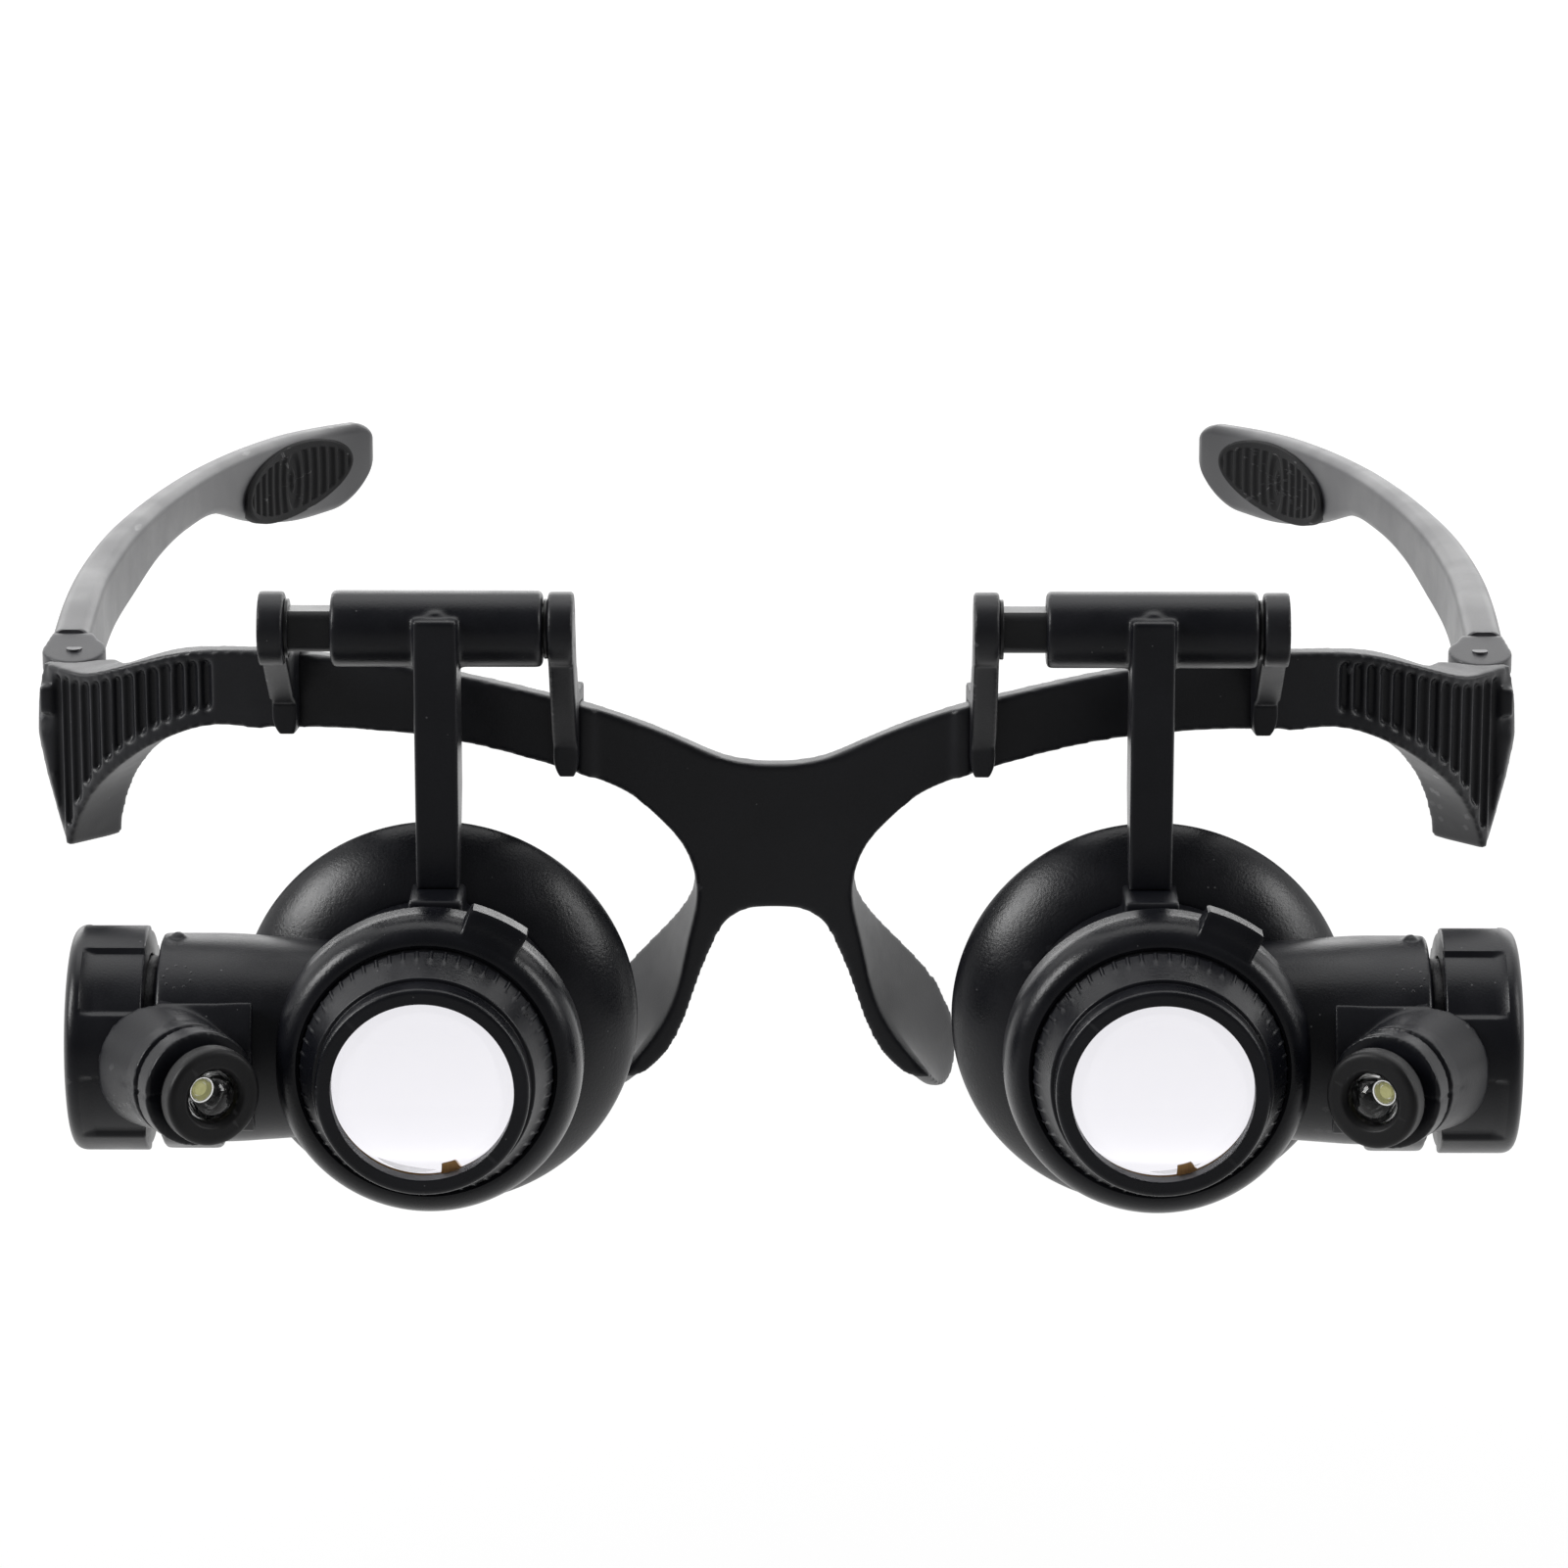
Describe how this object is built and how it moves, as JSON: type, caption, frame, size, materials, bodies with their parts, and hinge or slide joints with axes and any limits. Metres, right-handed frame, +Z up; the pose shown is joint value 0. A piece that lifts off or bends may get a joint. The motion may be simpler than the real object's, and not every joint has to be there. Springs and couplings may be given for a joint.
{
  "type": "magnifying glasses with light",
  "caption": "Head-worn loupe glasses: flip-up magnifying lens tubes on sliding arms, each with a battery tube and a swivelling lamp beside it.",
  "frame": {"origin": "underside of the nose arch, halfway through the bar, where the glasses sit on the nose", "axes": "+X to the wearer's left, +Y back towards the wearer's ears, +Z up"},
  "size_m": [0.1488, 0.1729, 0.063],
  "materials": {
    "frame_plastic": "black moulded nylon, satin",
    "temple_plastic": "black moulded nylon, matte",
    "rod_plastic": "black moulded plastic",
    "loupe_plastic": "black moulded plastic, semi-gloss",
    "cup_plastic": "black moulded plastic, glossy",
    "pad_rubber": "soft black rubber, ribbed",
    "holder_rubber": "black rubber",
    "lens_glass": "clear, polished",
    "lamp_resin": "clear epoxy",
    "steel": "turned",
    "cell_steel": "nickel plated",
    "brass": "stamped"
  },
  "bodies": {
    "frame": {"front_frame": "frame_plastic", "left_outer_lug": "frame_plastic", "left_inner_lug": "frame_plastic", "right_outer_lug": "frame_plastic", "right_inner_lug": "frame_plastic"},
    "left_temple": {"left_hinge_block": "frame_plastic", "left_hinge_screw": "steel", "left_temple_arm": "temple_plastic", "left_ear_pad": "pad_rubber"},
    "left_rod": {"left_slide_rod": "rod_plastic"},
    "left_loupe": {"left_loupe_arm": "loupe_plastic", "left_loupe_body": "loupe_plastic", "left_eyecup": "cup_plastic", "left_battery_cells": "cell_steel", "left_cell_spring": "brass", "left_contact_strip": "brass"},
    "left_lock": {"left_lock_ring": "cup_plastic"},
    "left_lens": {"left_lens_tube": "cup_plastic", "left_lens": "lens_glass", "left_retaining_ring": "brass"},
    "left_cap_slide": {"left_cap_contact": "brass"},
    "left_cap": {"left_battery_cap": "loupe_plastic"},
    "left_lamp_arm": {"left_lamp_bracket": "loupe_plastic"},
    "left_lamp": {"left_lamp_holder": "holder_rubber", "left_led": "lamp_resin"},
    "right_temple": {"right_hinge_block": "frame_plastic", "right_hinge_screw": "steel", "right_temple_arm": "temple_plastic", "right_ear_pad": "pad_rubber"},
    "right_rod": {"right_slide_rod": "rod_plastic"},
    "right_loupe": {"right_loupe_arm": "loupe_plastic", "right_loupe_body": "loupe_plastic", "right_eyecup": "cup_plastic", "right_battery_cells": "cell_steel", "right_cell_spring": "brass", "right_contact_strip": "brass"},
    "right_lock": {"right_lock_ring": "cup_plastic"},
    "right_lens": {"right_lens_tube": "cup_plastic", "right_lens": "lens_glass", "right_retaining_ring": "brass"},
    "right_cap_slide": {"right_cap_contact": "brass"},
    "right_cap": {"right_battery_cap": "loupe_plastic"},
    "right_lamp_arm": {"right_lamp_bracket": "loupe_plastic"},
    "right_lamp": {"right_lamp_holder": "holder_rubber", "right_led": "lamp_resin"}
  },
  "joints": [
    {"name": "left_temple_fold", "type": "hinge", "parent": "frame", "child": "left_temple", "pos_m": [0.071, 0.01942, 0.0172], "axis": [0, 0, 1], "range_deg": [0, 82]},
    {"name": "left_loupe_flip", "type": "hinge", "parent": "frame", "child": "left_rod", "pos_m": [0.03445, -0.0082, 0.0298], "axis": [-1, 0, 0], "range_deg": [0, 110]},
    {"name": "left_pupil_slide", "type": "slide", "parent": "left_rod", "child": "left_loupe", "axis": [-1, 0, 0], "range_m": [0, 0.004]},
    {"name": "left_lock_turn", "type": "hinge", "parent": "left_loupe", "child": "left_lock", "pos_m": [0.03705, -0.0216, -0.0099], "axis": [0, -1, 0], "range_deg": [0, 30]},
    {"name": "left_lens_pull", "type": "slide", "parent": "left_loupe", "child": "left_lens", "axis": [0, -1, 0], "range_m": [0, 0.009]},
    {"name": "left_cap_travel", "type": "slide", "parent": "left_loupe", "child": "left_cap_slide", "axis": [-1, 0, 0], "range_m": [-0.0015, 0.001]},
    {"name": "left_cap_turn", "type": "hinge", "parent": "left_cap_slide", "child": "left_cap", "pos_m": [0.06805, -0.0132, -0.0099], "axis": [-1, 0, 0], "range_deg": [-365, 245]},
    {"name": "left_lamp_swing", "type": "hinge", "parent": "left_loupe", "child": "left_lamp_arm", "pos_m": [0.06005, -0.0132, -0.0099], "axis": [1, 0, 0], "range_deg": [-15, 15]},
    {"name": "left_lamp_tilt", "type": "hinge", "parent": "left_lamp_arm", "child": "left_lamp", "pos_m": [0.0594, -0.0278, -0.0099], "axis": [0.866, -0.5, 0], "range_deg": [-10, 10]},
    {"name": "right_temple_fold", "type": "hinge", "parent": "frame", "child": "right_temple", "pos_m": [-0.071, 0.01942, 0.0172], "axis": [0, 0, -1], "range_deg": [0, 74]},
    {"name": "right_loupe_flip", "type": "hinge", "parent": "frame", "child": "right_rod", "pos_m": [-0.03445, -0.0082, 0.0298], "axis": [-1, 0, 0], "range_deg": [0, 110]},
    {"name": "right_pupil_slide", "type": "slide", "parent": "right_rod", "child": "right_loupe", "axis": [-1, 0, 0], "range_m": [0, 0.004]},
    {"name": "right_lock_turn", "type": "hinge", "parent": "right_loupe", "child": "right_lock", "pos_m": [-0.03305, -0.0216, -0.0099], "axis": [0, -1, 0], "range_deg": [0, 30]},
    {"name": "right_lens_pull", "type": "slide", "parent": "right_loupe", "child": "right_lens", "axis": [0, -1, 0], "range_m": [0, 0.009]},
    {"name": "right_cap_travel", "type": "slide", "parent": "right_loupe", "child": "right_cap_slide", "axis": [1, 0, 0], "range_m": [-0.0015, 0.001]},
    {"name": "right_cap_turn", "type": "hinge", "parent": "right_cap_slide", "child": "right_cap", "pos_m": [-0.06405, -0.0132, -0.0099], "axis": [1, 0, 0], "range_deg": [-365, 245]},
    {"name": "right_lamp_swing", "type": "hinge", "parent": "right_loupe", "child": "right_lamp_arm", "pos_m": [-0.05605, -0.0132, -0.0099], "axis": [1, 0, 0], "range_deg": [-15, 15]},
    {"name": "right_lamp_tilt", "type": "hinge", "parent": "right_lamp_arm", "child": "right_lamp", "pos_m": [-0.0554, -0.0278, -0.0099], "axis": [0.866, 0.5, 0], "range_deg": [-10, 10]}
  ],
  "couplings": [
    {"joint": "left_cap_turn", "follows": "left_cap_travel", "rad_per_m": 4188.8},
    {"joint": "right_cap_turn", "follows": "right_cap_travel", "rad_per_m": 4188.8}
  ]
}
